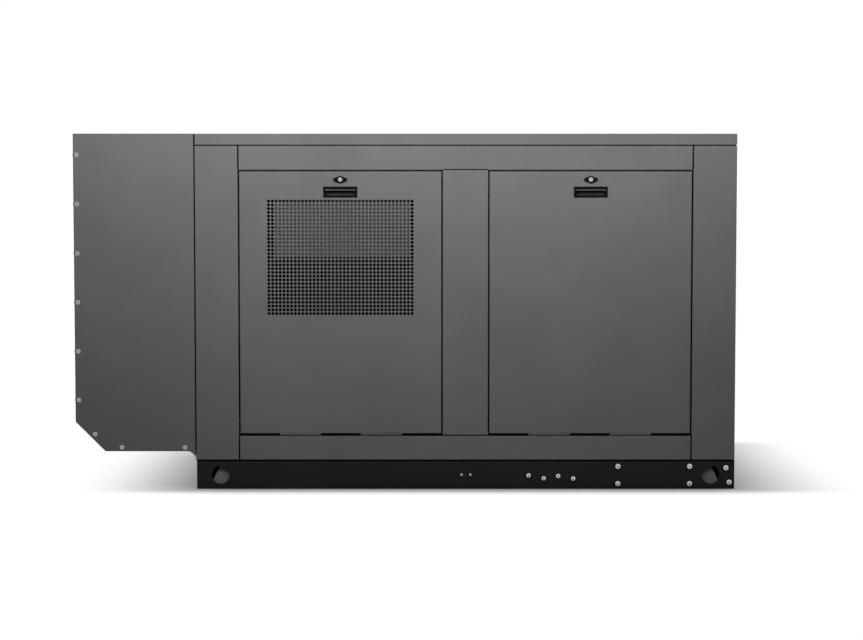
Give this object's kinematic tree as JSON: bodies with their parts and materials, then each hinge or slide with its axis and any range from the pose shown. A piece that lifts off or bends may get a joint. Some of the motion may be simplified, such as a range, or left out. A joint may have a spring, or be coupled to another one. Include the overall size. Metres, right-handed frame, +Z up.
{
  "type": "home standby generator",
  "caption": "Liquid-cooled standby generator in a sheet-steel enclosure with drop-down service doors, an end discharge plenum and a channel-steel base frame.",
  "frame": {"origin": "middle of the ground footprint, at the underside of the base rails", "axes": "+X along the length towards the air-inlet end, -Y out of the front service doors, +Z up"},
  "size_m": [2.36, 1.0166, 1.27],
  "materials": {
    "charcoal_paint": "fine-texture semi-gloss powder coat",
    "black_paint": "satin black enamel",
    "box_paint": "satin powder coat",
    "engine_paint": "satin engine enamel",
    "black_plastic": "fine-grained moulding",
    "red_plastic": "gloss moulding",
    "foam": "open-cell acoustic foam",
    "galvanised": "galvanised sheet",
    "aluminium": "mill finish",
    "cast_iron": "as cast, painted",
    "hot_steel": "heat-tinted steel",
    "rubber": "moulded rubber",
    "steel": "machined",
    "windings": "varnished copper windings on laminations"
  },
  "bodies": {
    "root": {"base_rail_front": "black_paint", "base_rail_rear": "black_paint", "base_end_left": "black_paint", "base_end_right": "black_paint", "crossmember_engine": "black_paint", "crossmember_alternator": "black_paint", "crossmember_inlet": "black_paint", "floor_pan": "black_paint", "post_left_front": "charcoal_paint", "post_centre_front": "charcoal_paint", "post_right_front": "charcoal_paint", "header_front": "charcoal_paint", "sill_front": "charcoal_paint", "post_left_rear": "charcoal_paint", "post_centre_rear": "charcoal_paint", "post_right_rear": "charcoal_paint", "header_rear": "charcoal_paint", "sill_rear": "charcoal_paint", "roof_panel": "charcoal_paint", "inlet_end_panel": "charcoal_paint", "radiator_bulkhead": "charcoal_paint", "plenum_front_panel": "charcoal_paint", "plenum_rear_panel": "charcoal_paint", "plenum_wrap": "charcoal_paint", "plenum_grille": "black_paint", "engine_block": "engine_paint", "cylinder_head": "engine_paint", "oil_pan": "engine_paint", "air_cleaner": "black_plastic", "exhaust_manifold": "hot_steel", "muffler": "galvanised", "radiator": "aluminium", "fan_shroud": "black_paint", "fan_belt": "rubber", "alternator_housing": "cast_iron", "battery": "black_plastic", "control_box": "box_paint"},
    "front_left_door": {"door_front_left": "charcoal_paint", "door_liner_front_left": "foam", "pull_cup_front_left": "black_plastic", "inlet_baffle": "galvanised"},
    "front_left_latch": {"latch_front_left": "black_plastic"},
    "front_right_door": {"door_front_right": "charcoal_paint", "door_liner_front_right": "foam", "pull_cup_front_right": "black_plastic"},
    "front_right_latch": {"latch_front_right": "black_plastic"},
    "rear_left_door": {"door_rear_left": "charcoal_paint", "door_liner_rear_left": "foam", "pull_cup_rear_left": "black_plastic"},
    "rear_left_latch": {"latch_rear_left": "black_plastic"},
    "rear_right_door": {"door_rear_right": "charcoal_paint", "door_liner_rear_right": "foam", "pull_cup_rear_right": "black_plastic"},
    "rear_right_latch": {"latch_rear_right": "black_plastic"},
    "crank": {"crankshaft": "steel", "alternator_rotor": "windings"},
    "fan": {"radiator_fan": "black_plastic"},
    "selector": {"selector_switch": "black_plastic"},
    "stop": {"stop_button": "red_plastic"},
    "breaker": {"breaker_toggle": "black_plastic"}
  },
  "joints": [
    {"name": "front_left_door_drop", "type": "hinge", "parent": "root", "child": "front_left_door", "pos_m": [-0.2305, -0.4978, 0.1928], "axis": [1, 0, 0], "range_deg": [0, 90]},
    {"name": "front_left_latch_turn", "type": "hinge", "parent": "front_left_door", "child": "front_left_latch", "pos_m": [-0.2305, -0.5, 1.1075], "axis": [0, -1, 0], "range_deg": [0, 90]},
    {"name": "front_right_door_drop", "type": "hinge", "parent": "root", "child": "front_right_door", "pos_m": [0.6605, -0.4978, 0.1928], "axis": [1, 0, 0], "range_deg": [0, 90]},
    {"name": "front_right_latch_turn", "type": "hinge", "parent": "front_right_door", "child": "front_right_latch", "pos_m": [0.6605, -0.5, 1.1075], "axis": [0, -1, 0], "range_deg": [0, 90]},
    {"name": "rear_left_door_drop", "type": "hinge", "parent": "root", "child": "rear_left_door", "pos_m": [-0.2305, 0.4978, 0.1928], "axis": [-1, 0, 0], "range_deg": [0, 90]},
    {"name": "rear_left_latch_turn", "type": "hinge", "parent": "rear_left_door", "child": "rear_left_latch", "pos_m": [-0.2305, 0.5, 1.1075], "axis": [0, -1, 0], "range_deg": [0, 90]},
    {"name": "rear_right_door_drop", "type": "hinge", "parent": "root", "child": "rear_right_door", "pos_m": [0.6605, 0.4978, 0.1928], "axis": [-1, 0, 0], "range_deg": [0, 90]},
    {"name": "rear_right_latch_turn", "type": "hinge", "parent": "rear_right_door", "child": "rear_right_latch", "pos_m": [0.6605, 0.5, 1.1075], "axis": [0, -1, 0], "range_deg": [0, 90]},
    {"name": "crank_spin", "type": "hinge", "parent": "root", "child": "crank", "pos_m": [-0.549, 0, 0.36], "axis": [1, 0, 0], "continuous": true},
    {"name": "fan_spin", "type": "hinge", "parent": "root", "child": "fan", "pos_m": [-0.549, 0, 0.66], "axis": [1, 0, 0], "continuous": true},
    {"name": "selector_turn", "type": "hinge", "parent": "root", "child": "selector", "pos_m": [0.7, -0.36, 0.8], "axis": [0, -1, 0], "range_deg": [-45, 45]},
    {"name": "stop_press", "type": "slide", "parent": "root", "child": "stop", "axis": [0, 1, 0], "range_m": [0, 0.006], "stiffness_N_per_m": 300, "springref_m": -0.002},
    {"name": "breaker_throw", "type": "hinge", "parent": "root", "child": "breaker", "pos_m": [0.9, -0.35, 0.8], "axis": [1, 0, 0], "range_deg": [0, 50]}
  ],
  "couplings": [
    {"joint": "fan_spin", "follows": "crank_spin", "ratio": 1.1667}
  ]
}
